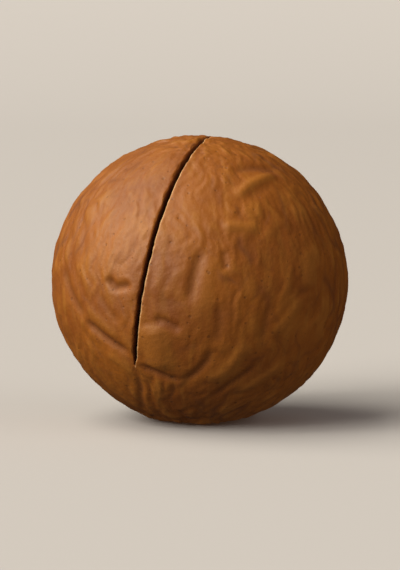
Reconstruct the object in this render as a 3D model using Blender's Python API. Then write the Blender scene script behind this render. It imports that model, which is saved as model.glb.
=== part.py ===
"""A macadamia nut in its shell, with the slit that is sawn in it for opening.

The nut is one solid. It rests on a small flat spot in the middle of its base scar, which is the origin.
+Z is up, from the base scar to the tip, and the slit faces the front, -Y. Sizes are in millimetres until
the finished mesh is scaled to metres.
"""

import math

import bmesh
import bpy
import numpy as np
from mathutils import Matrix, Vector, noise

METRES_PER_MM = 0.001

# The nut's outside
WIDTH = 25.0
DEPTH = 24.4
HEIGHT = 24.0
FULL_SIZE = np.array([WIDTH, DEPTH, HEIGHT])
HALF_SIZE = FULL_SIZE / 2
SWELL = 0.08  # how far broad swellings lift or sink the shell
SWELL_SPAN = 11.0  # distance from one swelling to the next
REST_RADIUS = 2.1  # the flat spot that the nut stands on

# The front is what shows from a little above the horizontal. Places on it are shares of the half width
# and half height: across to the right, then up.
FRONT_ELEVATION = math.radians(6)

# The sawn slit lies in one plane through three places on the front, and runs on over the top.
SLIT_LOW_END = (-0.425, -0.577)
SLIT_MIDDLE = (-0.350, 0.080)
SLIT_TOP = (-0.045, 0.890)
SLIT_ARC = 156.0  # degrees from its low end, over the top and down the back
SLIT_DEPTH = 2.1
SLIT_RUN = ((0.0, 0.0), (0.4, 0.4), (4.0, 0.75), (11.0, 1.0))  # degrees on from an end, share of the depth
SLIT_HALF_FLOOR = 0.17
SLIT_HALF_MOUTH = 0.23

# Wrinkles: bumps with furrows between them, drawn out from the base scar towards the tip
BUMP_SPAN = 2.4
BUMP_RISE = 0.22
BUMP_DRAW = 0.5  # how much of the height counts, so that bumps grow long
GATHER = 0.55  # how strongly the furrows gather towards the base and the tip
GATHER_FROM = 1.0  # nearer to the axis than this, they gather no more
SMALL_BUMP_SPAN = 1.2
SMALL_BUMP_RISE = 0.20
BUMP_MEAN = 0.25
FURROW_ROUNDING = 0.08
WANDER_SPAN = 6.0
WANDER = 1.8  # how far the furrows stray from straight
CRINKLE_SPAN = 1.7
CRINKLE = 0.5  # how far small bends take them off that course
CALM_SPAN = 8.0  # distance between wrinkled and calmer patches
CALM_CONTRAST = 3.0
CALM_SHARE = 0.45  # the least share of the wrinkles that a calm patch keeps
SMOOTH_PLACES = ((-0.52, 0.34), (-0.04, 0.42), (0.68, 0.26))  # the shell is smoother round these
SMOOTH_RADIUS = 3.0
SMOOTH_SHARE = 0.7  # the share of the wrinkles that is lost in their middle
NOISE_SEED = 2  # the furrows' bends are drawn from this seed, and without one from the clock

# The boldest single folds of the front: how far each sinks or rises, half its width, and its places
FURROWS = {
    "short one at the left": (0.28, 0.52, (-0.61, 0.03), (-0.55, -0.05), (-0.43, -0.03)),
    "long one at the left, upper half": (0.18, 0.52, (-0.91, 0.12), (-0.86, -0.08), (-0.74, -0.28)),
    "long one at the left, lower half": (0.28, 0.52, (-0.77, -0.25), (-0.65, -0.37), (-0.43, -0.51)),
    "on from the slit's end": (0.22, 0.52, (-0.41, -0.57), (-0.33, -0.60), (-0.22, -0.65), (-0.10, -0.69)),
    "up again from that one": (0.20, 0.52, (-0.14, -0.70), (-0.03, -0.63), (0.05, -0.54), (0.09, -0.43)),
    "above the low bump": (0.20, 0.52, (-0.31, -0.25), (-0.22, -0.28), (-0.11, -0.34)),
    "upright one in the middle": (0.20, 0.52, (0.03, 0.23), (-0.02, 0.10), (-0.05, -0.04), (-0.08, -0.18)),
    "over the arch": (0.16, 0.52, (0.20, 0.73), (0.36, 0.76), (0.54, 0.74)),
    "long one low at the right": (0.22, 0.52, (0.05, -0.81), (0.18, -0.71), (0.28, -0.64), (0.39, -0.55)),
    "beside the right ridge": (0.16, 0.52, (0.45, -0.16), (0.43, -0.30), (0.39, -0.43)),
}
RIDGES = {
    "arch": (0.17, 0.52, (0.22, 0.53), (0.32, 0.64), (0.42, 0.69), (0.52, 0.71)),
    "low bump beside the slit": (0.27, 1.10, (-0.32, -0.27), (-0.28, -0.44), (-0.24, -0.63)),
    "broad one low at the right": (0.17, 0.65, (0.03, -0.69), (0.15, -0.62), (0.24, -0.52), (0.31, -0.40)),
    "under that one": (0.14, 0.52, (0.24, -0.76), (0.38, -0.68), (0.48, -0.61), (0.58, -0.52)),
    "right": (0.13, 0.58, (0.46, -0.39), (0.55, -0.29), (0.62, -0.19), (0.67, -0.08)),
}
FOLD_FADE = 0.25  # share of a fold's length over which each end fades out
CALM_BESIDE = 2.2  # the wrinkles are calmed over this many times a fold's half width
CALM_NEAR_FOLD = 0.75  # the share of the wrinkles that is lost on a fold's own line

# The base scar, where the nut grew on its stalk, and the tip at the other end
SCAR_PLACE = Vector((0.02, 0.04, -1.0)).normalized()
SCAR_RADIUS = 4.0
SCAR_WAVE = 0.35  # how far its edge strays from round
SCAR_WAVE_SPAN = 3.0
SCAR_STEP = 0.14
SCAR_LIP = 0.07
SCAR_EDGE = 0.6
TIP_PLACE = Vector((-0.08, 0.30, 0.95)).normalized()
TIP_RISE = 0.14
TIP_SPREAD = 2.0
TIP_PIT = 0.40
TIP_PIT_RADIUS = 0.8

# The mesh
START_FACES_SPLIT = 11  # rows of triangles in each of the 80 faces that the ball starts from
ON_CUT = 0.002  # a point this near a cut lies on it
CUT_REACH = 2.0  # a face whose middle is further than this from the slit isn't cut
CUT_PAST_END = 5.0  # degrees that the cuts run on past the slit's ends

SHELL_COLOUR = (0.36, 0.135, 0.038, 1.0)
SHELL_ROUGHNESS = 0.45


def clear_scene():
    for thing in list(bpy.data.objects):
        bpy.data.objects.remove(thing)


def on_front(across, up):
    """The surface point that shows at these shares of the half width and half height."""
    towards = math.sqrt(max(0.0, 1 - across**2 - up**2))
    tilt = Matrix.Rotation(-FRONT_ELEVATION, 3, "X")
    direction = tilt @ Vector((across, -towards, up))
    return np.array(direction) * HALF_SIZE


def distance_from(points, direction):
    """Each point's distance from where this direction meets the shell."""
    return np.linalg.norm(points - np.array(direction) * HALF_SIZE, axis=1)


def smooth_step(low, high, values):
    share = np.clip((values - low) / (high - low), 0, 1)
    return share * share * (3 - 2 * share)


def noise_at(points, span):
    return np.array([noise.noise(Vector(point) / span) for point in points])


class Slit:
    """The saw's middle plane, and where the slit starts and ends on it."""

    def __init__(self):
        low, middle, top = (on_front(*place) for place in (SLIT_LOW_END, SLIT_MIDDLE, SLIT_TOP))
        normal = np.cross(middle - low, top - low)
        self.normal = normal / np.linalg.norm(normal)
        self.centre = self.normal * (low @ self.normal)
        self.along = (low - self.centre) / np.linalg.norm(low - self.centre)
        self.onward = np.cross(self.along, self.normal)
        if self.onward @ (top - low) < 0:
            self.onward = -self.onward

    def measure(self, points):
        """For each point: distance from the plane, degrees on from the low end, and the way into the nut."""
        offset = (points - self.centre) @ self.normal
        flat = points - self.centre - offset[:, None] * self.normal
        angle = np.degrees(np.arctan2(flat @ self.onward, flat @ self.along))
        inward = -flat / np.linalg.norm(flat, axis=1)[:, None]
        return offset, angle, inward

    def depth(self, offset, angle):
        """How deep the slit is at these distances from its plane and angles along it."""
        across = np.interp(np.abs(offset), (SLIT_HALF_FLOOR, SLIT_HALF_MOUTH), (1, 0))
        from_end = np.minimum(angle, SLIT_ARC - angle)
        along = np.interp(from_end, *zip(*SLIT_RUN))
        return SLIT_DEPTH * across * along

    def tangent(self, angle):
        """The way along the slit at this many degrees on from its low end."""
        turn = math.radians(angle)
        return self.onward * math.cos(turn) - self.along * math.sin(turn)


def cut_faces(form, faces, point, normal):
    """Splits these faces where a plane crosses them."""
    edges = dict.fromkeys(edge for face in faces for edge in face.edges)
    verts = dict.fromkeys(vert for face in faces for vert in face.verts)
    bmesh.ops.bisect_plane(
        form,
        geom=[*verts, *edges, *faces],
        dist=ON_CUT,
        plane_co=Vector(point),
        plane_no=Vector(normal),
    )


def faces_near_slit(form, slit, reach, first, last):
    """The faces whose middles are within this reach of the saw's plane, between two angles along it."""
    centres = np.array([face.calc_center_median() for face in form.faces])
    offset, angle, _ = slit.measure(centres)
    near = (np.abs(offset) < reach) & (angle > first) & (angle < last)
    return [face for face, inside in zip(form.faces, near) if inside]


def ball_with_slit_lines(slit):
    """An egg-round ball of even triangles, cut along the lines where the slit's sides and floor turn."""
    form = bmesh.new()
    bmesh.ops.create_icosphere(form, subdivisions=2, radius=1)
    bmesh.ops.subdivide_edges(form, edges=form.edges[:], cuts=START_FACES_SPLIT - 1, use_grid_fill=True)
    for vert in form.verts:
        vert.co = vert.co.normalized() * Vector(HALF_SIZE)
    for side in (-SLIT_HALF_MOUTH, -SLIT_HALF_FLOOR, SLIT_HALF_FLOOR, SLIT_HALF_MOUTH):
        faces = faces_near_slit(form, slit, CUT_REACH, -CUT_PAST_END, SLIT_ARC + CUT_PAST_END)
        cut_faces(form, faces, slit.centre + slit.normal * side, slit.normal)
    for run, _ in SLIT_RUN:
        for angle in (run, SLIT_ARC - run):
            faces = faces_near_slit(form, slit, SLIT_HALF_MOUTH, angle - CUT_PAST_END, angle + CUT_PAST_END)
            cut_faces(form, faces, slit.centre, slit.tangent(angle))
    return form


def wrinkle(place, smooth_middles):
    """Rise of the wrinkles at one place."""
    strayed = place + noise.noise_vector(place / WANDER_SPAN) * WANDER
    strayed += noise.noise_vector(place / CRINKLE_SPAN) * CRINKLE
    gather = (HALF_SIZE[0] / max(GATHER_FROM, math.hypot(strayed.x, strayed.y))) ** GATHER
    strayed = Vector((strayed.x * gather, strayed.y * gather, strayed.z * BUMP_DRAW))
    large = math.hypot(noise.noise(strayed / BUMP_SPAN), FURROW_ROUNDING) - BUMP_MEAN
    small = math.hypot(noise.noise(strayed / SMALL_BUMP_SPAN), FURROW_ROUNDING) - BUMP_MEAN
    busy = min(1, CALM_CONTRAST * abs(noise.noise(place / CALM_SPAN)))
    share = CALM_SHARE + (1 - CALM_SHARE) * busy
    for middle in smooth_middles:
        share *= 1 - SMOOTH_SHARE * math.exp(-(((place - middle).length / SMOOTH_RADIUS) ** 2))
    return share * (BUMP_RISE * large + SMALL_BUMP_RISE * small)


def distance_along(points, line):
    """Each point's distance from a line of corners, and how far along it the nearest place is, 0 to 1."""
    runs = [np.linalg.norm(end - start) for start, end in zip(line, line[1:])]
    nearest = np.full(len(points), np.inf)
    place = np.zeros(len(points))
    passed = 0.0
    for start, end, run in zip(line, line[1:], runs):
        step = end - start
        share = np.clip((points - start) @ step / run**2, 0, 1)
        away = np.linalg.norm(points - start - share[:, None] * step, axis=1)
        closer = away < nearest
        nearest[closer] = away[closer]
        place[closer] = (passed + share[closer] * run) / sum(runs)
        passed += run
    return nearest, place


def front_folds(points):
    """For each point: rise of the shell over the single folds, and the share of the wrinkles left there."""
    rise = np.zeros(len(points))
    wrinkles_left = np.ones(len(points))
    for sign, folds in ((-1, FURROWS), (1, RIDGES)):
        for amount, half_width, *places in folds.values():
            away, place = distance_along(points, [on_front(*place) for place in places])
            fade = smooth_step(0, FOLD_FADE, np.minimum(place, 1 - place))
            rise += sign * amount * fade * np.exp(-((away / half_width) ** 2))
            wrinkles_left *= 1 - CALM_NEAR_FOLD * fade * np.exp(-((away / half_width / CALM_BESIDE) ** 2))
    return rise, wrinkles_left


def tip(points):
    """Rise of the shell at the tip: a low swelling with a pit in it."""
    away = distance_from(points, TIP_PLACE)
    swelling = TIP_RISE * np.exp(-((away / TIP_SPREAD) ** 2))
    pit = TIP_PIT * np.exp(-((away / TIP_PIT_RADIUS) ** 2))
    return swelling - pit


def relief(points):
    """Rise of the shell over the plain egg shape. Inside a low lip, the base scar is a smooth sunk disc."""
    smooth_middles = [Vector(on_front(*place)) for place in SMOOTH_PLACES]
    wrinkles = np.array([wrinkle(Vector(point), smooth_middles) for point in points])
    swelling = SWELL * noise_at(points, SWELL_SPAN)
    folds, wrinkles_left = front_folds(points)
    wave = noise_at(points, SCAR_WAVE_SPAN)
    past_edge = distance_from(points, SCAR_PLACE) - SCAR_RADIUS - SCAR_WAVE * wave
    outside = smooth_step(-SCAR_EDGE, SCAR_EDGE, past_edge)
    lip = SCAR_LIP * np.exp(-(((past_edge - SCAR_EDGE) / SCAR_EDGE) ** 2))
    skin = outside * (wrinkles_left * wrinkles + folds)
    return skin + swelling + tip(points) + lip - SCAR_STEP * (1 - outside)


def shape_shell(form, slit):
    """Moves the ball's points out or in over the relief, and down into the slit."""
    points = np.array([vert.co for vert in form.verts])
    directions = points / HALF_SIZE
    directions /= np.linalg.norm(directions, axis=1)[:, None]
    surface = directions * HALF_SIZE
    outward = surface / np.linalg.norm(surface, axis=1)[:, None]
    offset, angle, inward = slit.measure(points)
    sunk = inward * slit.depth(offset, angle)[:, None]
    shaped = surface + outward * relief(surface)[:, None] + sunk
    for vert, place in zip(form.verts, shaped):
        vert.co = Vector(place)


def stand_on_flat(form):
    """Cuts the small flat spot, and puts it on the origin, under the middle of the nut."""
    lowest = min(vert.co.z for vert in form.verts)
    radius = HALF_SIZE.mean()
    cut_height = lowest + radius - math.sqrt(radius**2 - REST_RADIUS**2)
    cut = bmesh.ops.bisect_plane(
        form,
        geom=[*form.verts, *form.edges, *form.faces],
        dist=ON_CUT,
        plane_co=(0, 0, cut_height),
        plane_no=(0, 0, -1),
        clear_outer=True,
    )
    rim = [edge for edge in cut["geom_cut"] if isinstance(edge, bmesh.types.BMEdge)]
    bmesh.ops.contextual_create(form, geom=rim)
    corners = np.array([vert.co for vert in form.verts])
    middle = (corners.min(axis=0) + corners.max(axis=0)) / 2
    bmesh.ops.translate(form, verts=form.verts[:], vec=(-middle[0], -middle[1], -cut_height))


def fit_to_size(form):
    """Brings the nut to its exact width, depth and height, in metres."""
    corners = np.array([vert.co for vert in form.verts])
    factors = METRES_PER_MM * FULL_SIZE / (corners.max(axis=0) - corners.min(axis=0))
    bmesh.ops.scale(form, verts=form.verts[:], vec=factors)


def shell_material():
    material = bpy.data.materials.new("shell")
    material.use_nodes = True
    surface = material.node_tree.nodes["Principled BSDF"]
    surface.inputs["Base Color"].default_value = SHELL_COLOUR
    surface.inputs["Roughness"].default_value = SHELL_ROUGHNESS
    surface.inputs["Metallic"].default_value = 0.0
    return material


def make_nut():
    slit = Slit()
    form = ball_with_slit_lines(slit)
    shape_shell(form, slit)
    stand_on_flat(form)
    bmesh.ops.triangulate(form, faces=form.faces[:])
    fit_to_size(form)
    mesh = bpy.data.meshes.new("nut")
    form.to_mesh(mesh)
    form.free()
    mesh.shade_smooth()
    mesh.materials.append(shell_material())
    bpy.context.scene.collection.objects.link(bpy.data.objects.new("nut", mesh))


clear_scene()
noise.seed_set(NOISE_SEED)
make_nut()
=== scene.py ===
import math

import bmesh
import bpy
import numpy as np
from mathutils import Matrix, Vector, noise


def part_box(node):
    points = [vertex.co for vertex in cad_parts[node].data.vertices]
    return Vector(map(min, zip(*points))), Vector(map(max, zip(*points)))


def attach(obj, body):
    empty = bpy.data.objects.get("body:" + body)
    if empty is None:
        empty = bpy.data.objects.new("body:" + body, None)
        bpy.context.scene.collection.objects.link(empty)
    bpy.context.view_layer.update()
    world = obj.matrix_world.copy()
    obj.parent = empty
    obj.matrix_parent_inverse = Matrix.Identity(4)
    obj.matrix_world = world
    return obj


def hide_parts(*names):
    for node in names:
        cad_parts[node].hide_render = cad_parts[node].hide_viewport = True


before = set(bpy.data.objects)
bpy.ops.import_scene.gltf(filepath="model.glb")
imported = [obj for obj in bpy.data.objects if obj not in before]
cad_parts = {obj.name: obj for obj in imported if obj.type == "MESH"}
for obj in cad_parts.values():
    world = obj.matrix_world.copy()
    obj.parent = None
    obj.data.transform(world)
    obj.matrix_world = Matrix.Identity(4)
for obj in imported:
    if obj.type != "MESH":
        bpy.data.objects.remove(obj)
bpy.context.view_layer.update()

# %% [markdown]
# # A macadamia nut in its shell
#
# This lesson dresses one object: a round, hard-shelled nut that has been sawn part of the way round, so
# that a key can be pushed into the slit to crack it open. The plain solid gives the size, the place and
# the main forms. Here the nut gets its fine skin: wrinkles, furrows, pores, a clean saw cut, a rough base
# scar and a satin brown finish.
#
# The first cell measures the solid. The nut's shape is then worked out in millimetres, because such
# numbers are easy to picture, and its finished mesh is scaled back to metres. The ground, the lights and
# the camera are placed in metres.

METRES_PER_MM = 0.001
LOWEST_CORNER, HIGHEST_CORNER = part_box("nut")
FULL_SIZE = np.array(HIGHEST_CORNER - LOWEST_CORNER) / METRES_PER_MM
HALF_SIZE = FULL_SIZE / 2
print("nut, mm:", FULL_SIZE.round(2))

# %% [markdown]
# ## Places on the front
#
# The saw cut and the boldest wrinkles have their own places on the front of the nut. It is easiest to
# point at them as they are seen: so far across and so far up, as shares of the half width and half
# height. One small function turns such a place into a point on the shell. It tips the view down a
# little, because the camera looks from slightly above.

# %% Point at a place on the front
FRONT_ELEVATION = math.radians(6)


def on_front(across, up):
    """The surface point that shows at these shares of the half width and half height."""
    towards = math.sqrt(max(0.0, 1 - across**2 - up**2))
    tilt = Matrix.Rotation(-FRONT_ELEVATION, 3, "X")
    direction = tilt @ Vector((across, -towards, up))
    return np.array(direction) * HALF_SIZE


def distance_from(points, direction):
    """Each point's distance from where this direction meets the shell."""
    return np.linalg.norm(points - np.array(direction) * HALF_SIZE, axis=1)


def smooth_step(low, high, values):
    """0 up to low, 1 from high on, and a smooth rise between them."""
    share = np.clip((values - low) / (high - low), 0, 1)
    return share * share * (3 - 2 * share)


print("the front's middle:", on_front(0, 0).round(2))

# %% [markdown]
# ## The saw's plane
#
# A saw blade is flat, so the whole slit lies in one plane. Three places on the front fix that plane. The
# slit could be cut with a Boolean, but its two thin walls would then meet a soup of small triangles.
# Instead, every point of the shell is asked how far it lies from the plane and how far along the slit it
# is, and the points inside the slit are pushed in. That keeps one clean closed mesh.

# %% Lay the saw's plane
SLIT_LOW_END = (-0.425, -0.577)
SLIT_MIDDLE = (-0.350, 0.080)
SLIT_TOP = (-0.045, 0.890)
SLIT_ARC = 156.0  # degrees from its low end, over the top and down the back
SLIT_DEPTH = 2.1
SLIT_RUN = ((0.0, 0.0), (0.4, 0.4), (4.0, 0.75), (11.0, 1.0))  # degrees on from an end, share of the depth
SLIT_SECTION = ((0.17, 1.0), (0.20, 0.045), (0.25, 0.016), (0.33, 0.0))  # mm from the plane, share of depth
SLIT_HALF_MOUTH = 0.20


class Slit:
    """The saw's middle plane, and where the slit starts and ends on it."""

    def __init__(self):
        low, middle, top = (on_front(*place) for place in (SLIT_LOW_END, SLIT_MIDDLE, SLIT_TOP))
        normal = np.cross(middle - low, top - low)
        self.normal = normal / np.linalg.norm(normal)
        self.centre = self.normal * (low @ self.normal)
        self.along = (low - self.centre) / np.linalg.norm(low - self.centre)
        self.onward = np.cross(self.along, self.normal)
        if self.onward @ (top - low) < 0:
            self.onward = -self.onward

    def measure(self, points):
        """For each point: distance from the plane, degrees on from the low end, and the way into the nut."""
        offset = (points - self.centre) @ self.normal
        flat = points - self.centre - offset[:, None] * self.normal
        angle = np.degrees(np.arctan2(flat @ self.onward, flat @ self.along))
        inward = -flat / np.linalg.norm(flat, axis=1)[:, None]
        return offset, angle, inward

    def share_of_depth(self, offset, angle):
        """How deep the slit is at these distances from its plane and angles along it, from 0 to 1."""
        across = np.interp(np.abs(offset), *zip(*SLIT_SECTION))
        from_end = np.minimum(angle, SLIT_ARC - angle)
        return across * np.interp(from_end, *zip(*SLIT_RUN))

    def tangent(self, angle):
        """The way along the slit at this many degrees on from its low end."""
        turn = math.radians(angle)
        return self.onward * math.cos(turn) - self.along * math.sin(turn)


slit = Slit()
print("the saw's plane passes", round(float(np.linalg.norm(slit.centre)), 2), "mm from the middle")

# %% [markdown]
# ## An even ball
#
# A UV sphere crowds its faces at the poles, which shows as soon as the surface is displaced. An
# icosphere has even triangles, and splitting each of them into rows keeps them even. Blender's own
# subdivisions only double, so the ball starts coarse and `subdivide_edges` with a grid fill gives it any
# number of rows. Its points are then put on the egg-round form.

# %% Make the ball
TRIANGLE_ROWS = 44  # in each of the 80 faces that the ball starts from

form = bmesh.new()
bmesh.ops.create_icosphere(form, subdivisions=2, radius=1)
bmesh.ops.subdivide_edges(form, edges=form.edges[:], cuts=TRIANGLE_ROWS - 1, use_grid_fill=True)
for vert in form.verts:
    vert.co = vert.co.normalized() * Vector(HALF_SIZE)
print("ball:", len(form.verts), "points,", len(form.faces), "faces")

# %% [markdown]
# ## Lines for the saw cut
#
# A crisp wall needs points exactly along its edges. `bisect_plane` cuts the faces near the slit along a
# line for each turn of its section, and across it near both ends. Only faces close to the slit are
# handed over, so the rest of the ball keeps its even triangles.

# %% Cut the lines
ON_CUT = 0.002  # a point this near a cut lies on it
CUT_REACH = 1.0  # a face whose middle is further than this from the slit isn't cut
CUT_PAST_END = 3.0  # degrees that the cuts run on past the slit's ends


def faces_near_slit(reach, first, last):
    """The faces whose middles are within this reach of the saw's plane, between two angles along it."""
    centres = np.array([face.calc_center_median() for face in form.faces])
    offset, angle, _ = slit.measure(centres)
    near = (np.abs(offset) < reach) & (angle > first) & (angle < last)
    return [face for face, inside in zip(form.faces, near) if inside]


def cut_faces(faces, point, normal):
    """Splits these faces where a plane crosses them."""
    edges = dict.fromkeys(edge for face in faces for edge in face.edges)
    verts = dict.fromkeys(vert for face in faces for vert in face.verts)
    bmesh.ops.bisect_plane(
        form,
        geom=[*verts, *edges, *faces],
        dist=ON_CUT,
        plane_co=Vector(point),
        plane_no=Vector(normal),
    )


for distance, _ in SLIT_SECTION:
    for side in (-distance, distance):
        strip = faces_near_slit(CUT_REACH, -CUT_PAST_END, SLIT_ARC + CUT_PAST_END)
        cut_faces(strip, slit.centre + slit.normal * side, slit.normal)
for run, _ in SLIT_RUN:
    for angle in (run, SLIT_ARC - run):
        strip = faces_near_slit(SLIT_HALF_MOUTH, angle - CUT_PAST_END, angle + CUT_PAST_END)
        cut_faces(strip, slit.centre, slit.tangent(angle))
sawn_faces = faces_near_slit(SLIT_HALF_MOUTH, 0, SLIT_ARC)
print("after the cuts:", len(form.faces), "faces,", len(sawn_faces), "of them sawn")

# %% [markdown]
# ## Wrinkles
#
# The shell's skin is drawn up in low bumps with furrows between them. A noise that passes through zero
# gives both at once: its distance from zero is a bump, and the line where it crosses zero is a furrow.
# Squeezing the height before the noise is read draws the bumps out from the base to the tip. Two vector
# noises, a slow one and a quick one, bend and crinkle the furrows, so that they don't close in smooth
# rings. Patches of the shell stay calmer.
#
# The same function says how far each place lies in the floor of a furrow, which gets painted shade. A
# furrow with painted shade all along would look drawn with a pen, so the painted shade comes and goes,
# and where it fades, the smaller furrows take it over.
#
# `noise_vector` shifts its places by a seed. Left alone, that seed comes from the clock, and each run
# would grow another nut, so `seed_set` fixes it.

# %% Sizes of the wrinkles
SWELL = 0.08  # how far broad swellings lift or sink the shell
SWELL_SPAN = 11.0
BUMP_SPAN = 2.4
BUMP_RISE = 0.22
BUMP_DRAW = 0.5  # how much of the height counts, so that bumps grow long
GATHER = 0.55  # how strongly the furrows gather towards the base and the tip
GATHER_FROM = 1.0  # nearer to the axis than this, they gather no more
SMALL_BUMP_SPAN = 1.2
SMALL_BUMP_RISE = 0.20
BUMP_MEAN = 0.25
FURROW_ROUNDING = 0.08
# The next three set the painted shade on the furrows' floors: how narrow it is, how dark it gets between
# small bumps, and where it breaks.
FURROW_WIDTH = 0.06  # how near zero the noise is inside a furrow
SMALL_FURROW_SHADE_SHARE = 0.6  # how dark a furrow between small bumps gets beside one between large bumps
BREAK_SPAN = 1.9  # distance from one break in the dark of a furrow to the next
BREAK_CONTRAST = 2.5
WANDER_SPAN = 6.0
WANDER = 1.8  # how far the furrows stray from straight
CRINKLE_SPAN = 1.7
CRINKLE = 0.5  # how far small bends take them off that course
CALM_SPAN = 8.0
CALM_CONTRAST = 3.0
CALM_SHARE = 0.45  # the least share of the wrinkles that a calm patch keeps
SMOOTH_PLACES = ((-0.52, 0.34), (-0.04, 0.42), (0.68, 0.26))  # the shell is smoother round these
SMOOTH_RADIUS = 3.0
SMOOTH_SHARE = 0.7  # the share of the wrinkles that is lost in their middle
PUCKER_SPAN = 0.5  # the finest ripples of the skin
PUCKER_RISE = 0.06
print("bumps every", BUMP_SPAN, "mm, with smaller ones every", SMALL_BUMP_SPAN, "mm")

# %% Wrinkle noise
NOISE_SEED = 2  # the furrows' bends are drawn from this seed, and without one from the clock

noise.seed_set(NOISE_SEED)
SMOOTH_MIDDLES = [Vector(on_front(*place)) for place in SMOOTH_PLACES]


def wrinkle(place):
    """At one place: rise of the wrinkles, how much of a furrow's floor it is (for painted shade and
    dullness), and rise of the swelling.
    """
    strayed = place + noise.noise_vector(place / WANDER_SPAN) * WANDER
    strayed += noise.noise_vector(place / CRINKLE_SPAN) * CRINKLE
    gather = (HALF_SIZE[0] / max(GATHER_FROM, math.hypot(strayed.x, strayed.y))) ** GATHER
    strayed = Vector((strayed.x * gather, strayed.y * gather, strayed.z * BUMP_DRAW))
    bump_noise = noise.noise(strayed / BUMP_SPAN)
    small_noise = noise.noise(strayed / SMALL_BUMP_SPAN)
    large = math.hypot(bump_noise, FURROW_ROUNDING) - BUMP_MEAN
    small = math.hypot(small_noise, FURROW_ROUNDING) - BUMP_MEAN
    busy = min(1, CALM_CONTRAST * abs(noise.noise(place / CALM_SPAN)))
    share = CALM_SHARE + (1 - CALM_SHARE) * busy
    for middle in SMOOTH_MIDDLES:
        share *= 1 - SMOOTH_SHARE * math.exp(-(((place - middle).length / SMOOTH_RADIUS) ** 2))
    rise = share * (BUMP_RISE * large + SMALL_BUMP_RISE * small)
    rise += PUCKER_RISE * noise.noise(strayed / PUCKER_SPAN)
    # Painted shade: the furrow's floor is darkened in the colour, and that dark breaks now and then.
    unbroken = min(1, max(0, 0.5 + BREAK_CONTRAST * noise.noise(place / BREAK_SPAN)))
    furrow = unbroken * math.exp(-((bump_noise / FURROW_WIDTH) ** 2))
    furrow += (1 - unbroken) * SMALL_FURROW_SHADE_SHARE * math.exp(-((small_noise / FURROW_WIDTH) ** 2))
    return rise, share * furrow, SWELL * noise.noise(place / SWELL_SPAN)


print("one place:", wrinkle(Vector(on_front(0, 0))))

# %% [markdown]
# ## Single folds on the front
#
# Noise gives the right kind of skin, but not this nut's own face. Its boldest furrows and ridges are
# placed one by one, as short lines of places. A point sinks or rises by how near it is to such a line,
# and each fold fades out towards its ends. Around the folds the noise is turned down, so that it doesn't
# drown them.

# %% Furrows of the front
FURROWS = {  # how far it sinks, half its width, and the places it runs through
    "short one at the left": (0.28, 0.34, (-0.61, 0.03), (-0.55, -0.05), (-0.43, -0.03)),
    "long one at the left, upper half": (0.18, 0.50, (-0.91, 0.12), (-0.86, -0.08), (-0.74, -0.28)),
    "long one at the left, lower half": (0.28, 0.38, (-0.77, -0.25), (-0.65, -0.37), (-0.43, -0.51)),
    "faint one between those two": (0.10, 0.36, (-0.67, -0.07), (-0.60, -0.20), (-0.51, -0.30)),
    "on from the slit's end": (0.22, 0.34, (-0.41, -0.57), (-0.33, -0.60), (-0.22, -0.65), (-0.10, -0.69)),
    "up again from that one": (0.20, 0.38, (-0.14, -0.70), (-0.03, -0.63), (0.05, -0.54), (0.09, -0.43)),
    "thin one under the slit": (0.20, 0.30, (-0.41, -0.60), (-0.39, -0.74), (-0.37, -0.90)),
    "above the low bump": (0.20, 0.36, (-0.31, -0.25), (-0.22, -0.28), (-0.11, -0.34)),
    "upright one in the middle": (0.20, 0.48, (0.03, 0.23), (-0.02, 0.10), (-0.05, -0.04), (-0.08, -0.18)),
    "short upright one": (0.12, 0.32, (0.16, 0.21), (0.165, 0.05)),
    "low upright one": (0.12, 0.45, (0.12, -0.14), (0.13, -0.30), (0.10, -0.45)),
    "over the arch": (0.16, 0.48, (0.20, 0.73), (0.36, 0.76), (0.54, 0.74)),
    "under the arch": (0.07, 0.45, (0.28, 0.54), (0.39, 0.59), (0.50, 0.66)),
    "long one low at the right": (0.22, 0.36, (0.05, -0.81), (0.18, -0.71), (0.28, -0.64), (0.39, -0.55)),
    "beside the right ridge": (0.16, 0.38, (0.45, -0.16), (0.43, -0.30), (0.39, -0.43)),
}
print(len(FURROWS), "furrows on the front")

# %% Ridges of the front
RIDGES = {  # how far it rises, half its width, and the places it runs through
    "left of the slit": (0.10, 0.42, (-0.76, -0.15), (-0.63, -0.30), (-0.50, -0.41)),
    "low at the left": (0.10, 0.50, (-0.63, -0.47), (-0.52, -0.56), (-0.42, -0.64)),
    "low bump": (0.27, 1.10, (-0.32, -0.27), (-0.28, -0.44), (-0.24, -0.63)),
    "beside the upright furrow": (0.06, 0.66, (0.11, 0.22), (0.06, 0.05), (0.02, -0.16), (-0.07, -0.34)),
    "level one above the middle": (0.16, 0.45, (0.13, 0.35), (0.25, 0.36), (0.39, 0.34)),
    "arch": (0.17, 0.42, (0.22, 0.53), (0.32, 0.64), (0.42, 0.69), (0.52, 0.71)),
    "broad one low at the right": (0.17, 0.60, (0.03, -0.69), (0.15, -0.62), (0.24, -0.52), (0.31, -0.40)),
    "under that one": (0.14, 0.48, (0.24, -0.76), (0.38, -0.68), (0.48, -0.61), (0.58, -0.52)),
    "right": (0.13, 0.58, (0.46, -0.39), (0.55, -0.29), (0.62, -0.19), (0.67, -0.08)),
    "far right": (0.10, 0.60, (0.69, 0.22), (0.72, 0.06), (0.72, -0.08)),
}
print(len(RIDGES), "ridges on the front")

# %% Rise over the folds
FOLD_FADE = 0.25  # share of a fold's length over which each end fades out
# The next two set the painted shade on the floors of the placed furrows.
DEEPEST_FURROW = 0.28
FURROW_SHADE_REACH = 0.85  # the dark of a furrow's floor reaches over this share of its half width
CALM_BESIDE = 2.2  # the noise is calmed over this many times a fold's half width
CALM_NEAR_FOLD = 0.75  # the share of the noise that is lost on a fold's own line


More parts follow.
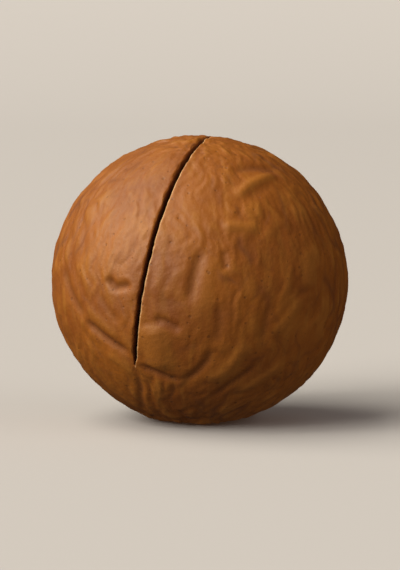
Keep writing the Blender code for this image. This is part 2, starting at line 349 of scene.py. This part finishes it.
def distance_along(points, line):
    """Each point's distance from a line of corners, and how far along it the nearest place is, 0 to 1."""
    runs = [np.linalg.norm(end - start) for start, end in zip(line, line[1:])]
    nearest = np.full(len(points), np.inf)
    place = np.zeros(len(points))
    passed = 0.0
    for start, end, run in zip(line, line[1:], runs):
        step = end - start
        share = np.clip((points - start) @ step / run**2, 0, 1)
        away = np.linalg.norm(points - start - share[:, None] * step, axis=1)
        closer = away < nearest
        nearest[closer] = away[closer]
        place[closer] = (passed + share[closer] * run) / sum(runs)
        passed += run
    return nearest, place


def front_folds(points):
    """For each point: rise over the folds, how much of a furrow's floor it lies in (for painted shade), and
    the share of noise kept.
    """
    rise = np.zeros(len(points))
    furrow = np.zeros(len(points))
    noise_kept = np.ones(len(points))
    for sign, folds in ((-1, FURROWS), (1, RIDGES)):
        for amount, half_width, *places in folds.values():
            away, place = distance_along(points, [on_front(*place) for place in places])
            fade = smooth_step(0, FOLD_FADE, np.minimum(place, 1 - place))
            rise += sign * amount * fade * np.exp(-((away / half_width) ** 2))
            noise_kept *= 1 - CALM_NEAR_FOLD * fade * np.exp(-((away / half_width / CALM_BESIDE) ** 2))
            if sign < 0:
                furrow_shade = np.exp(-((away / half_width / FURROW_SHADE_REACH) ** 2))
                furrow += amount / DEEPEST_FURROW * fade * furrow_shade
    return rise, np.minimum(furrow, 1), noise_kept


in_a_furrow = front_folds(np.array([on_front(*FURROWS["short one at the left"][3])]))
print("rise, furrow and noise kept in a furrow:", [float(value[0].round(2)) for value in in_a_furrow])

# %% [markdown]
# ## Base scar and tip
#
# A nut has two ends. At the base is the round scar where it sat on its stalk: a dull, slightly sunk disc
# with a low lip, which it comes to rest on. At the tip is a small swelling with a pit in it, where the
# seedling would break through. Both are radial shapes, so distance from one point is all they need.

# %% Scar and tip
SCAR_PLACE = Vector((0.02, 0.04, -1.0)).normalized()
SCAR_RADIUS = 4.0
SCAR_WAVE = 0.35  # how far its edge strays from round
SCAR_WAVE_SPAN = 3.0
SCAR_STEP = 0.14
SCAR_LIP = 0.07
SCAR_EDGE = 0.6
TIP_PLACE = Vector((-0.08, 0.30, 0.95)).normalized()
TIP_RISE = 0.14
TIP_SPREAD = 2.0
TIP_PIT = 0.40
TIP_PIT_RADIUS = 0.8


def noise_at(points, span):
    """The noise at each point. Its bumps are about this span apart."""
    return np.array([noise.noise(Vector(point) / span) for point in points])


def scar_mask(points):
    """For each point: distance past the scar's uneven edge, and 1 inside the scar to 0 outside."""
    wave = noise_at(points, SCAR_WAVE_SPAN)
    past_edge = distance_from(points, SCAR_PLACE) - SCAR_RADIUS - SCAR_WAVE * wave
    return past_edge, 1 - smooth_step(-SCAR_EDGE, SCAR_EDGE, past_edge)


def tip_shape(points):
    """For each point: rise of the shell at the tip, and 1 in the middle of its pit to 0 outside."""
    away = distance_from(points, TIP_PLACE)
    pit = np.exp(-((away / TIP_PIT_RADIUS) ** 2))
    return TIP_RISE * np.exp(-((away / TIP_SPREAD) ** 2)) - TIP_PIT * pit, pit


print("scar:", 2 * SCAR_RADIUS, "mm across; tip pit:", 2 * TIP_PIT_RADIUS, "mm across")

# %% [markdown]
# ## Shape the shell
#
# Now all the reliefs are added up, and each point moves once: out or in along its own radius, and down
# into the slit. A saw leaves no ruled line in a hard shell, so the points beside the slit also stray
# sideways a little, small chips are missing from its edges, and it narrows at both ends.

# %% Chips and wavering edges
RIM_REACH = 0.42  # the cut's bruised rim ends this far from the saw's plane
LIP_WAVER = 0.07  # how far each edge of the cut strays sideways
LIP_WAVER_SPAN = 0.9
LIP_WAVER_REACH = 0.8  # points further than this from the saw's plane don't stray
SLIT_END_SHARE = 0.25  # the slit's width at its very ends
SLIT_END_RUN = 7.0  # degrees over which it narrows to that
CHIP_DEPTH = 0.07
CHIP_SPAN = 0.55
CHIP_FROM_TO = (0.05, 0.35)  # values of the noise over which a chip starts and is full
CUT_END_FADE = 1.5  # degrees over which the chips and the rim fade out at the slit's ends


def chip_mask(points, offset, angle):
    """1 where a small chip is missing from an edge of the cut, to 0 elsewhere."""
    away = np.abs(offset)
    beside = smooth_step(SLIT_HALF_MOUTH - ON_CUT, SLIT_HALF_MOUTH, away)
    beside *= 1 - smooth_step(SLIT_HALF_MOUTH, RIM_REACH, away)
    inside = smooth_step(0, CUT_END_FADE, np.minimum(angle, SLIT_ARC - angle))
    sides = slit.normal * np.sign(offset)[:, None]
    return beside * inside * smooth_step(*CHIP_FROM_TO, noise_at(points + sides, CHIP_SPAN))


def stray_sideways(points, offset, angle):
    """How far each point moves along the plane's normal: edges waver, and the slit narrows to its ends."""
    away = np.abs(offset)
    beside = 1 - smooth_step(SLIT_HALF_MOUTH, LIP_WAVER_REACH, away)
    sides = slit.normal * np.sign(offset)[:, None] * WANDER_SPAN
    waver = LIP_WAVER * smooth_step(0, SLIT_HALF_MOUTH, away) * noise_at(points + sides, LIP_WAVER_SPAN)
    from_end = np.clip(np.minimum(angle, SLIT_ARC - angle), -SLIT_END_RUN, SLIT_END_RUN)
    narrowing = (1 - SLIT_END_SHARE) * (1 - smooth_step(0, SLIT_END_RUN, np.abs(from_end)))
    return beside * (waver - narrowing * offset)


print("chips up to", CHIP_DEPTH, "mm deep, edges up to", LIP_WAVER, "mm off their line")

# %% Move the points
points = np.array([vert.co for vert in form.verts])
directions = points / HALF_SIZE
surface = directions / np.linalg.norm(directions, axis=1)[:, None] * HALF_SIZE
outward = surface / np.linalg.norm(surface, axis=1)[:, None]
offset, angle, inward = slit.measure(points)
depth = slit.share_of_depth(offset, angle)
past_edge, scar = scar_mask(surface)
wrinkle_rise, wrinkle_furrow_shade, swell = np.array([wrinkle(Vector(point)) for point in surface]).T
fold_rise, fold_furrow_shade, noise_kept = front_folds(surface)
skin_rise = (1 - scar) * (noise_kept * wrinkle_rise + fold_rise)
tip_rise, tip_pit = tip_shape(surface)
lip = SCAR_LIP * np.exp(-(((past_edge - SCAR_EDGE) / SCAR_EDGE) ** 2))
rise = skin_rise + swell + tip_rise + lip - SCAR_STEP * scar
rise -= CHIP_DEPTH * chip_mask(surface, offset, angle)
shaped = surface + outward * rise[:, None] + inward * (SLIT_DEPTH * depth)[:, None]
shaped += slit.normal * stray_sideways(surface, offset, angle)[:, None]
for vert, place in zip(form.verts, shaped):
    vert.co = Vector(place)
print("rise, mm:", rise.min().round(2), "to", rise.max().round(2))

# %% [markdown]
# ## Masks for the finish
#
# While the numbers are at hand, the masks that the finish will need are stored on the mesh as
# attributes, so that the painted shade of the furrows lies exactly in the furrows of the form. The faces
# inside the slit are given the second material, which the raw shell there will have.

# %% Keep the masks
def store(name, values):
    """Keeps one value for each point under this name, for the materials."""
    layer = form.verts.layers.float.new(name)
    for vert, value in zip(form.verts, values):
        vert[layer] = value


in_arc = smooth_step(-CUT_END_FADE, 0, np.minimum(angle, SLIT_ARC - angle))
# Painted highlight: only the side of the cut that faces the key light gets the pale rim.
rim_highlight = (offset < 0) * in_arc * (1 - smooth_step(SLIT_HALF_MOUTH, RIM_REACH, -offset))
# The furrow mask darkens the colour as painted shade on the furrows' floors, and also dulls them.
store("furrow", (1 - scar) * np.maximum(noise_kept * wrinkle_furrow_shade, fold_furrow_shade))
store("rise", skin_rise)
store("scar", scar)
store("tip_pit", tip_pit)
store("slit_depth", depth)
store("slit_rim_highlight", rim_highlight)
for face in sawn_faces:
    face.material_index = 1
print("masks:", form.verts.layers.float.keys())

# %% [markdown]
# ## The flat spot and the true size
#
# A ball that touches a table in one point would roll. Real nuts settle on a small worn flat, so a plane
# cuts one under the scar and the hole is closed with one face. Then the mesh is scaled to the solid's
# exact box, in metres, with its place in its points and the object itself at the origin.

# %% Cut the flat spot
REST_RADIUS = 2.1

lowest = min(vert.co.z for vert in form.verts)
mean_radius = HALF_SIZE.mean()
cut_height = lowest + mean_radius - math.sqrt(mean_radius**2 - REST_RADIUS**2)
cut = bmesh.ops.bisect_plane(
    form,
    geom=[*form.verts, *form.edges, *form.faces],
    dist=ON_CUT,
    plane_co=(0, 0, cut_height),
    plane_no=(0, 0, -1),
    clear_outer=True,
)
rest_edges = [edge for edge in cut["geom_cut"] if isinstance(edge, bmesh.types.BMEdge)]
bmesh.ops.contextual_create(form, geom=rest_edges)
bmesh.ops.triangulate(form, faces=form.faces[:])
print("the flat has", len(rest_edges), "edges round it")

# %% Give it its true size
SHARP_ANGLE = math.radians(38)  # an edge that turns more than this is shaded as a crease

corners = np.array([vert.co for vert in form.verts])
low, high = corners.min(axis=0), corners.max(axis=0)
factors = METRES_PER_MM * FULL_SIZE / (high - low)
bmesh.ops.scale(form, verts=form.verts[:], vec=factors)
bmesh.ops.translate(form, verts=form.verts[:], vec=LOWEST_CORNER - Vector(low * factors))

mesh = bpy.data.meshes.new("nut_in_shell")
form.to_mesh(mesh)
form.free()
mesh.shade_smooth()
mesh.set_sharp_from_angle(angle=SHARP_ANGLE)
nut = bpy.data.objects.new("nut_in_shell", mesh)
bpy.context.scene.collection.objects.link(nut)
print("nut mesh:", len(mesh.polygons), "triangles")

# %% [markdown]
# ## Node helpers
#
# A material is a small graph, and written out node by node it is hard to follow. A few helpers keep it
# readable. The first two add a node and fill its sockets, each with a value or with a link from another
# node. The next four stand for one node each. The last two make a group of nodes and place it.

# %% Helpers for nodes
def fill(tree, socket, value):
    """Links a socket to another node's output, or gives it a plain value."""
    if isinstance(value, bpy.types.NodeSocket):
        tree.links.new(value, socket)
    else:
        socket.default_value = value


def add_node(tree, kind, values=None, **settings):
    """Adds a node, sets its settings, and fills its sockets by name or number."""
    node = tree.nodes.new(kind)
    for name, value in settings.items():
        setattr(node, name, value)
    for name, value in (values or {}).items():
        fill(tree, node.inputs[name], value)
    return node


print("made two helpers for nodes")

# %% Helpers for colours and numbers
MIX_FIRST, MIX_SECOND, MIX_RESULT = 6, 7, 2  # the colour sockets of a Mix node


def blend(tree, share, first, second):
    """The first colour where share is 0, and the second where it is 1."""
    values = {0: share, MIX_FIRST: first, MIX_SECOND: second}
    return add_node(tree, "ShaderNodeMix", values, data_type="RGBA").outputs[MIX_RESULT]


def calculate(tree, operation, first, second):
    """One sum on two numbers, each a plain value or a node's output."""
    return add_node(tree, "ShaderNodeMath", {0: first, 1: second}, operation=operation).outputs[0]


def ramp(tree, value, low, high, to_low=0.0, to_high=1.0):
    """Smoothly maps a value between low and high onto the range from to_low to to_high."""
    values = {"Value": value, "From Min": low, "From Max": high, "To Min": to_low, "To Max": to_high}
    return add_node(tree, "ShaderNodeMapRange", values, interpolation_type="SMOOTHSTEP").outputs["Result"]


def mask(tree, name):
    """A mask that was stored on the mesh."""
    return add_node(tree, "ShaderNodeAttribute", attribute_name=name).outputs["Fac"]


print("made four helpers for colours and numbers")

# %% Helpers for groups
def new_group(name, inputs, outputs):
    """An empty node group with named number inputs, each with its usual value, and named outputs."""
    group = bpy.data.node_groups.new(name, "ShaderNodeTree")
    for title, usual in inputs.items():
        socket = group.interface.new_socket(title, in_out="INPUT", socket_type="NodeSocketFloat")
        socket.default_value = usual
    for title in outputs:
        group.interface.new_socket(title, in_out="OUTPUT", socket_type="NodeSocketFloat")
    start = group.nodes.new("NodeGroupInput")
    end = group.nodes.new("NodeGroupOutput")
    return group, start, end


def use_group(tree, group, **values):
    """Places a group in a material. An input's name has underscores for its spaces."""
    node = tree.nodes.new("ShaderNodeGroup")
    node.node_tree = group
    for name, value in values.items():
        fill(tree, node.inputs[name.replace("_", " ")], value)
    return node


print("made two helpers for groups")

# %% [markdown]
# ## Three shared effects
#
# - **Skin grain** is plain noise at a given span in millimetres. It serves as mottling when the span is
#   wide and as fine grain when it is narrow.
# - **Meridian streaks** run from the base to the tip, as the fibres of the shell do. The noise is read on
#   the unit circle round the nut's axis, so that streaks follow lines of longitude, with no seam.
# - **Pores** are small dots scattered by a Voronoi texture, each of its own size.
#
# Each is a group, built once, that reads Object coordinates and puts out one mask.

# %% Group for grain
def object_millimetres(tree):
    """The place on the nut, in millimetres."""
    place = add_node(tree, "ShaderNodeTexCoord").outputs["Object"]
    values = {0: place, "Scale": 1 / METRES_PER_MM}
    return add_node(tree, "ShaderNodeVectorMath", values, operation="SCALE").outputs[0]


NOISE_MIDDLE = 0.5  # a noise texture's values lie evenly on both sides of this


def make_grain_group():
    group, start, end = new_group("skin grain", {"Span": 1.0, "Detail": 3.0, "Contrast": 1.0}, ["Value"])
    per_span = calculate(group, "DIVIDE", 1.0, start.outputs["Span"])
    values = {0: object_millimetres(group), "Scale": per_span}
    place = add_node(group, "ShaderNodeVectorMath", values, operation="SCALE").outputs[0]
    values = {"Vector": place, "Scale": 1.0, "Detail": start.outputs["Detail"]}
    height = add_node(group, "ShaderNodeTexNoise", values).outputs["Fac"]
    above_middle = calculate(group, "SUBTRACT", height, NOISE_MIDDLE)
    spread = calculate(group, "MULTIPLY", above_middle, start.outputs["Contrast"])
    value = calculate(group, "ADD", spread, NOISE_MIDDLE)
    clamped = add_node(group, "ShaderNodeClamp", {"Value": value})
    fill(group, end.inputs["Value"], clamped.outputs[0])
    return group


GRAIN = make_grain_group()
print("made group", GRAIN.name)

# %% Group for streaks
CLEAR_OF_AXIS = (1.5, 6.0)  # nearer to the axis than this, in mm, the streaks fade out


def make_streak_group():
    inputs = {"Across": 14.0, "Run": 5.0, "Low": 0.5, "High": 0.7}
    group, start, end = new_group("meridian streaks", inputs, ["Mask"])
    parts = add_node(group, "ShaderNodeSeparateXYZ", {0: object_millimetres(group)}).outputs
    level = add_node(group, "ShaderNodeCombineXYZ", {"X": parts["X"], "Y": parts["Y"]}).outputs[0]
    from_axis = add_node(group, "ShaderNodeVectorMath", {0: level}, operation="LENGTH").outputs["Value"]
    circle = add_node(group, "ShaderNodeVectorMath", {0: level}, operation="NORMALIZE").outputs[0]
    values = {0: circle, "Scale": start.outputs["Across"]}
    around = add_node(group, "ShaderNodeVectorMath", values, operation="SCALE").outputs[0]
    height = calculate(group, "DIVIDE", parts["Z"], start.outputs["Run"])
    upward = add_node(group, "ShaderNodeCombineXYZ", {"Z": height}).outputs[0]
    place = add_node(group, "ShaderNodeVectorMath", {0: around, 1: upward}, operation="ADD").outputs[0]
    values = {"Vector": place, "Scale": 1.0, "Detail": 4.0, "Roughness": 0.6, "Distortion": 0.4}
    fibres = add_node(group, "ShaderNodeTexNoise", values).outputs["Fac"]
    streaks = ramp(group, fibres, start.outputs["Low"], start.outputs["High"])
    clear_of_poles = ramp(group, from_axis, *CLEAR_OF_AXIS)
    fill(group, end.inputs["Mask"], calculate(group, "MULTIPLY", streaks, clear_of_poles))
    return group


STREAKS = make_streak_group()
print("made group", STREAKS.name)

# %% Group for pores
PORE_CORE = 0.35  # the share of a pore's radius that is fully dark


def make_pore_group():
    group, start, end = new_group("pores", {"Spacing": 0.8, "Size": 0.3}, ["Mask"])
    per_cell = calculate(group, "DIVIDE", 1.0, start.outputs["Spacing"])
    values = {0: object_millimetres(group), "Scale": per_cell}
    place = add_node(group, "ShaderNodeVectorMath", values, operation="SCALE").outputs[0]
    cells = add_node(group, "ShaderNodeTexVoronoi", {"Vector": place, "Scale": 1.0})
    draw = add_node(group, "ShaderNodeSeparateColor", {0: cells.outputs["Color"]}).outputs[0]
    radius = calculate(group, "MULTIPLY", start.outputs["Size"], draw)
    inner = calculate(group, "MULTIPLY", radius, PORE_CORE)
    dot = ramp(group, cells.outputs["Distance"], inner, radius, 1.0, 0.0)
    fill(group, end.inputs["Mask"], dot)
    return group


PORES = make_pore_group()
print("made group", PORES.name)

# %% [markdown]
# ## The shell's finish
#
# The shell is a warm caramel brown with a satin, slightly waxy gloss. Looked at closely, it is mottled
# from red-brown to tan, streaked along its length, duller down in the furrows, whose floors are darkened
# with painted shade, paler on its raised bumps, and dotted with small dark pores. The base scar is paler,
# greyer and quite dull, and the tip's pit is darkened with painted shade. On the side of the saw cut that
# faces the key light, a thin painted highlight in the tan of fresh shell runs along the bruised rim.
#
# The colours are laid one over another, each through its own mask, as a painter would glaze them.

# %% Colours of the shell
DEEP_BROWN = (0.215, 0.052, 0.003, 1)
CARAMEL = (0.335, 0.098, 0.006, 1)
TAN = (0.400, 0.152, 0.018, 1)
# painted shade, for the furrows' floors and the tip's pit
FURROW_SHADE_BROWN = (0.110, 0.026, 0.004, 1)
PORE_BROWN = (0.080, 0.022, 0.005, 1)
SCAR_TAN = (0.340, 0.200, 0.105, 1)
# painted highlight on the cut's lit rim, in the tan of fresh shell
CUT_TAN_HIGHLIGHT = (0.560, 0.320, 0.150, 1)
print("skin between", DEEP_BROWN[:3], "and", TAN[:3])

# %% Lay the colours over one another
STREAK_SHARE = 0.30  # how strongly each layer covers what is under it
DARK_STREAK_SHARE = 0.35
RAISED_PALER_SHARE = 0.30
FURROW_SHADE_SHARE = 0.55
PORE_SHARE = 0.38
# painted shade in the tip's pit
TIP_PIT_SHADE_SHARE = 0.7
# painted highlight on the cut's rim that faces the key light
RIM_HIGHLIGHT_SHARE = 0.8
RAISED_PALER_FROM_TO = (-0.02, 0.10)  # mm of rise over which the skin grows paler
TIP_PIT_SHADE_FROM_TO = (0.35, 0.9)  # values of the pit's mask over which it darkens
RIM_HIGHLIGHT_FROM_TO = (0.65, 1.15)  # values of the frayed rim's mask over which it grows pale
FRAY = 0.6  # how much the grain frays the rim's edge


def shell_colour(tree, masks):
    """Lays the shell's colours over one another, each through its own mask."""
    mottle = use_group(tree, GRAIN, Span=4.5, Detail=4.0, Contrast=1.9).outputs[0]
    colour = blend(tree, mottle, DEEP_BROWN, CARAMEL)
    streaks = use_group(tree, STREAKS, Across=13.0, Run=2.6, Low=0.46, High=0.70).outputs[0]
    colour = blend(tree, calculate(tree, "MULTIPLY", streaks, STREAK_SHARE), colour, TAN)
    dark_streaks = use_group(tree, STREAKS, Across=25.0, Run=1.6, Low=0.50, High=0.72).outputs[0]
    colour = blend(tree, calculate(tree, "MULTIPLY", dark_streaks, DARK_STREAK_SHARE), colour, DEEP_BROWN)
    # The skin is paler where it rises.
    raised_paler = ramp(tree, masks["rise"], *RAISED_PALER_FROM_TO)
    colour = blend(tree, calculate(tree, "MULTIPLY", raised_paler, RAISED_PALER_SHARE), colour, TAN)
    # Painted shade: the furrows' floors are darkened.
    furrow = calculate(tree, "MULTIPLY", masks["furrow"], FURROW_SHADE_SHARE)
    colour = blend(tree, furrow, colour, FURROW_SHADE_BROWN)
    colour = blend(tree, calculate(tree, "MULTIPLY", masks["pores"], PORE_SHARE), colour, PORE_BROWN)
    scar_colour = blend(tree, masks["grain"], DEEP_BROWN, SCAR_TAN)
    colour = blend(tree, masks["scar"], colour, scar_colour)
    # Painted shade darkens the tip's pit.
    tip_pit = ramp(tree, masks["tip_pit"], *TIP_PIT_SHADE_FROM_TO, 0.0, TIP_PIT_SHADE_SHARE)
    colour = blend(tree, tip_pit, colour, FURROW_SHADE_BROWN)
    # Painted highlight: a thin tan line of fresh shell on the rim that faces the key light.
    fray = calculate(tree, "MULTIPLY", masks["grain"], FRAY)
    ragged_rim_highlight = calculate(tree, "ADD", masks["slit_rim_highlight"], fray)
    return blend(tree, ramp(tree, ragged_rim_highlight, *RIM_HIGHLIGHT_FROM_TO, 0.0, RIM_HIGHLIGHT_SHARE), colour, CUT_TAN_HIGHLIGHT)


print("furrows take", FURROW_SHADE_SHARE, "of their own brown, pores", PORE_SHARE)

# %% Material of the shell
SMOOTHEST, DULLEST = 0.56, 0.78  # roughness of the open skin and of a furrow's floor
ROUGHNESS_JITTER = 0.12
FINE_RELIEF = 0.00006  # height of the finest grain, in metres
FINE_STRENGTH = 0.7
PORE_DIP = 0.5  # how far a pore sinks beside the height of the grain


def shell_material():
    material = bpy.data.materials.new("satin_nut_shell")
    material.use_nodes = True
    tree = material.node_tree
    surface = tree.nodes["Principled BSDF"]
    masks = {name: mask(tree, name) for name in ("furrow", "rise", "scar", "tip_pit", "slit_rim_highlight")}
    masks["grain"] = use_group(tree, GRAIN, Span=0.30, Detail=3.0, Contrast=2.0).outputs[0]
    masks["pores"] = use_group(tree, PORES, Spacing=0.75, Size=0.26).outputs[0]
    fill(tree, surface.inputs["Base Color"], shell_colour(tree, masks))
    dull = calculate(tree, "MAXIMUM", masks["furrow"], masks["scar"])
    surface.inputs["Specular IOR Level"].default_value = 0.47
    roughness = ramp(tree, dull, 0.0, 1.0, SMOOTHEST, DULLEST)
    grain = calculate(tree, "SUBTRACT", masks["grain"], NOISE_MIDDLE)
    jitter = calculate(tree, "MULTIPLY", grain, ROUGHNESS_JITTER)
    fill(tree, surface.inputs["Roughness"], calculate(tree, "ADD", roughness, jitter))
    fine = use_group(tree, GRAIN, Span=0.38, Detail=3.0, Contrast=1.0).outputs[0]
    pores = calculate(tree, "MULTIPLY", masks["pores"], PORE_DIP)
    height = calculate(tree, "SUBTRACT", fine, pores)
    values = {"Strength": FINE_STRENGTH, "Distance": FINE_RELIEF, "Height": height}
    bump = add_node(tree, "ShaderNodeBump", values)
    fill(tree, surface.inputs["Normal"], bump.outputs[0])
    return material


mesh.materials.append(shell_material())
print("materials:", [material.name for material in mesh.materials])

# %% [markdown]
# ## Inside the saw cut
#
# The blade leaves a raw face, brown just under the skin. Further in, painted shade darkens it until it is
# lost in the dark at the floor. The stored depth drives that change, and the same grain group gives the
# face its tooth.

# %% Finish of the sawn faces
SAWN_BROWN = (0.200, 0.080, 0.025, 1)
# painted shade towards the slit's floor
SLIT_FLOOR_SHADE = (0.120, 0.045, 0.012, 1)
SLIT_FLOOR_SHADE_FROM_TO = (0.03, 0.45)  # shares of the depth over which the face takes the floor's colour
SAW_MARKS = 0.00003  # height of the sawn face's tooth, in metres
SAW_STRENGTH = 0.6


def sawn_material():
    material = bpy.data.materials.new("sawn_nut_shell")
    material.use_nodes = True
    tree = material.node_tree
    surface = tree.nodes["Principled BSDF"]
    depth_share = mask(tree, "slit_depth")
    grain = use_group(tree, GRAIN, Span=0.25, Detail=3.0, Contrast=1.6).outputs[0]
    fresh = blend(tree, grain, DEEP_BROWN, SAWN_BROWN)
    # Painted shade: deeper in the slit, the face takes the floor's dark colour.
    colour = blend(tree, ramp(tree, depth_share, *SLIT_FLOOR_SHADE_FROM_TO), fresh, SLIT_FLOOR_SHADE)
    fill(tree, surface.inputs["Base Color"], colour)
    surface.inputs["Roughness"].default_value = 0.8
    values = {"Strength": SAW_STRENGTH, "Distance": SAW_MARKS, "Height": grain}
    bump = add_node(tree, "ShaderNodeBump", values)
    fill(tree, surface.inputs["Normal"], bump.outputs[0])
    return material


mesh.materials.append(sawn_material())
print("materials:", [material.name for material in mesh.materials])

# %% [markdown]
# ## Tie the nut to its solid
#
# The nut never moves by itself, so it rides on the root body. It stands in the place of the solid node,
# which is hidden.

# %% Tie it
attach(nut, "root")
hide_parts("nut")
print(nut.name, "stands for the solid")

# %% [markdown]
# ## A pale ground
#
# The nut is shown on a plain pale surface. A flat sheet would show its far edge from a low camera, and
# a wall would show the line where it starts. So the ground is flat only near the nut, and then rises in
# one wide arc all the way round, like a shallow bowl: a short profile is spun once round the upright
# axis. It grows a little paler with distance, where less light reaches it. Its sizes are in metres.
#
# A pale ground also throws much light back up, which would wash out the shade under a small round
# thing. Blender lets an object take part in some rays only: this ground is seen by the camera and
# takes the nut's shadow, but it sends no light and no reflection to the nut, and its rim blocks no
# lamp.

# %% Shape the ground
FLOOR_DROP = 0.00002  # the floor lies this far below the nut's flat, so that the two don't flicker
FLAT_RADIUS = 0.45
SWEEP_RADIUS = 1.30  # radius of the arc in which the ground then rises
SWEEP_ARC = 30.0  # degrees of that arc
SWEEP_STEPS = 24
SPIN_STEPS = 96


def make_floor():
    """A flat disc whose outer part rises in one wide arc."""
    turns = [math.radians(SWEEP_ARC) * step / SWEEP_STEPS for step in range(SWEEP_STEPS + 1)]
    profile = [(0.0, 0.0)]
    profile += [(FLAT_RADIUS + SWEEP_RADIUS * math.sin(t), SWEEP_RADIUS * (1 - math.cos(t))) for t in turns]
    bowl = bmesh.new()
    verts = [bowl.verts.new((across, 0, up - FLOOR_DROP)) for across, up in profile]
    edges = [bowl.edges.new(pair) for pair in zip(verts, verts[1:])]
    bmesh.ops.spin(
        bowl, geom=[*verts, *edges], cent=(0, 0, 0), axis=(0, 0, 1), dvec=(0, 0, 0),
        angle=math.radians(360), steps=SPIN_STEPS, use_merge=True, use_duplicate=False,
    )
    bmesh.ops.remove_doubles(bowl, verts=bowl.verts[:], dist=1e-6)
    bmesh.ops.recalc_face_normals(bowl, faces=bowl.faces[:])
    floor_mesh = bpy.data.meshes.new("floor")
    bowl.to_mesh(floor_mesh)
    bowl.free()
    floor_mesh.shade_smooth()
    floor = bpy.data.objects.new("floor", floor_mesh)
    bpy.context.scene.collection.objects.link(floor)
    return floor


floor = make_floor()
floor.visible_diffuse = False
floor.visible_glossy = False
floor.visible_shadow = False
print("floor:", len(floor.data.polygons), "faces")

# %% Finish of the ground
NEAR_BEIGE = (0.500, 0.468, 0.495, 1)
FAR_BEIGE = (0.540, 0.505, 0.535, 1)
PALER_FROM_TO = (0.10, 1.10)  # distances from the nut over which the ground grows paler


def floor_material():
    material = bpy.data.materials.new("matt_floor")
    material.use_nodes = True
    tree = material.node_tree
    surface = tree.nodes["Principled BSDF"]
    place = add_node(tree, "ShaderNodeTexCoord").outputs["Object"]
    away = add_node(tree, "ShaderNodeVectorMath", {0: place}, operation="LENGTH").outputs["Value"]
    colour = blend(tree, ramp(tree, away, *PALER_FROM_TO), NEAR_BEIGE, FAR_BEIGE)
    fill(tree, surface.inputs["Base Color"], colour)
    surface.inputs["Roughness"].default_value = 0.9
    surface.inputs["Specular IOR Level"].default_value = 0.1
    return material


floor.data.materials.append(floor_material())
print("floor material:", floor.data.materials[0].name)

# %% [markdown]
# ## Soft studio light
#
# Light does two jobs on a round, wrinkled thing. It shows the form, and it rakes over the skin, so that
# each furrow gets a lit and a shaded side. A large soft key panel at the left does both, and makes the
# broad, gentle gloss left of the slit. A wider panel high at the left stands for the sky and opens up
# the top. A weak panel at the right keeps the shaded side warm and readable, and it is hidden from
# reflections, so that it adds no second gloss. A dim, even world fills the rest, and it is hidden from
# reflections too.

# %% Soft panels
NUT_MIDDLE = (LOWEST_CORNER + HIGHEST_CORNER) / 2
PANEL_DISTANCE = 5.2  # far enough to light the ground evenly on every side


def add_panel(name, direction, size, power, colour):
    """A square soft light that looks at the nut from this direction."""
    data = bpy.data.lights.new(name, "AREA")
    data.shape = "SQUARE"
    data.size = size
    data.energy = power
    data.color = colour
    panel = bpy.data.objects.new(name, data)
    towards = Vector(direction).normalized()
    panel.location = NUT_MIDDLE + towards * PANEL_DISTANCE
    panel.rotation_mode = "QUATERNION"
    panel.rotation_quaternion = towards.to_track_quat("Z", "Y")
    panel.visible_camera = False
    bpy.context.scene.collection.objects.link(panel)
    return panel


add_panel("key_panel", direction=(-0.71, -0.52, 0.48), size=3.60, power=296.0, colour=(1.0, 0.97, 0.80))
add_panel("sky_panel", direction=(-0.58, 0.02, 0.81), size=4.80, power=252.0, colour=(1.0, 0.97, 0.78))
fill_panel = add_panel(
    "fill_panel", direction=(0.88, -0.30, 0.36), size=4.00, power=62.0, colour=(1.0, 0.95, 0.80)
)
fill_panel.visible_glossy = False

# %% World
WORLD_COLOUR = (1.0, 0.92, 0.80, 1)
WORLD_STRENGTH = 0.19

world = bpy.data.worlds.new("studio")
world.use_nodes = True
background = world.node_tree.nodes["Background"]
background.inputs["Color"].default_value = WORLD_COLOUR
background.inputs["Strength"].default_value = WORLD_STRENGTH
world.cycles_visibility.glossy = False
bpy.context.scene.world = world
bpy.context.scene.view_settings.view_transform = "Standard"
print("world strength:", WORLD_STRENGTH)

# %% [markdown]
# ## Camera
#
# The nut is seen from the front and a few degrees above. A long lens from further back keeps the round
# form free of perspective swelling, as in a product photograph.

# %% Camera
LENS = 200.0
SENSOR = 36.0
FRAME_HEIGHT = 0.048  # what the picture's height takes in at the nut, in metres
AIM_ABOVE_MIDDLE = -0.0006

camera_data = bpy.data.cameras.new("camera")
camera_data.lens = LENS
camera_data.sensor_width = SENSOR
camera_data.clip_start = 0.01
camera_data.clip_end = 5.0
camera = bpy.data.objects.new("camera", camera_data)
back = Vector((0, -math.cos(FRONT_ELEVATION), math.sin(FRONT_ELEVATION)))
aim = NUT_MIDDLE + Vector((0, 0, AIM_ABOVE_MIDDLE))
camera.location = aim + back * (FRAME_HEIGHT * LENS / SENSOR)
camera.rotation_mode = "QUATERNION"
camera.rotation_quaternion = (-back).to_track_quat("-Z", "Y")
bpy.context.scene.collection.objects.link(camera)
bpy.context.scene.camera = camera
print("camera:", round((camera.location - aim).length, 3), "m away")
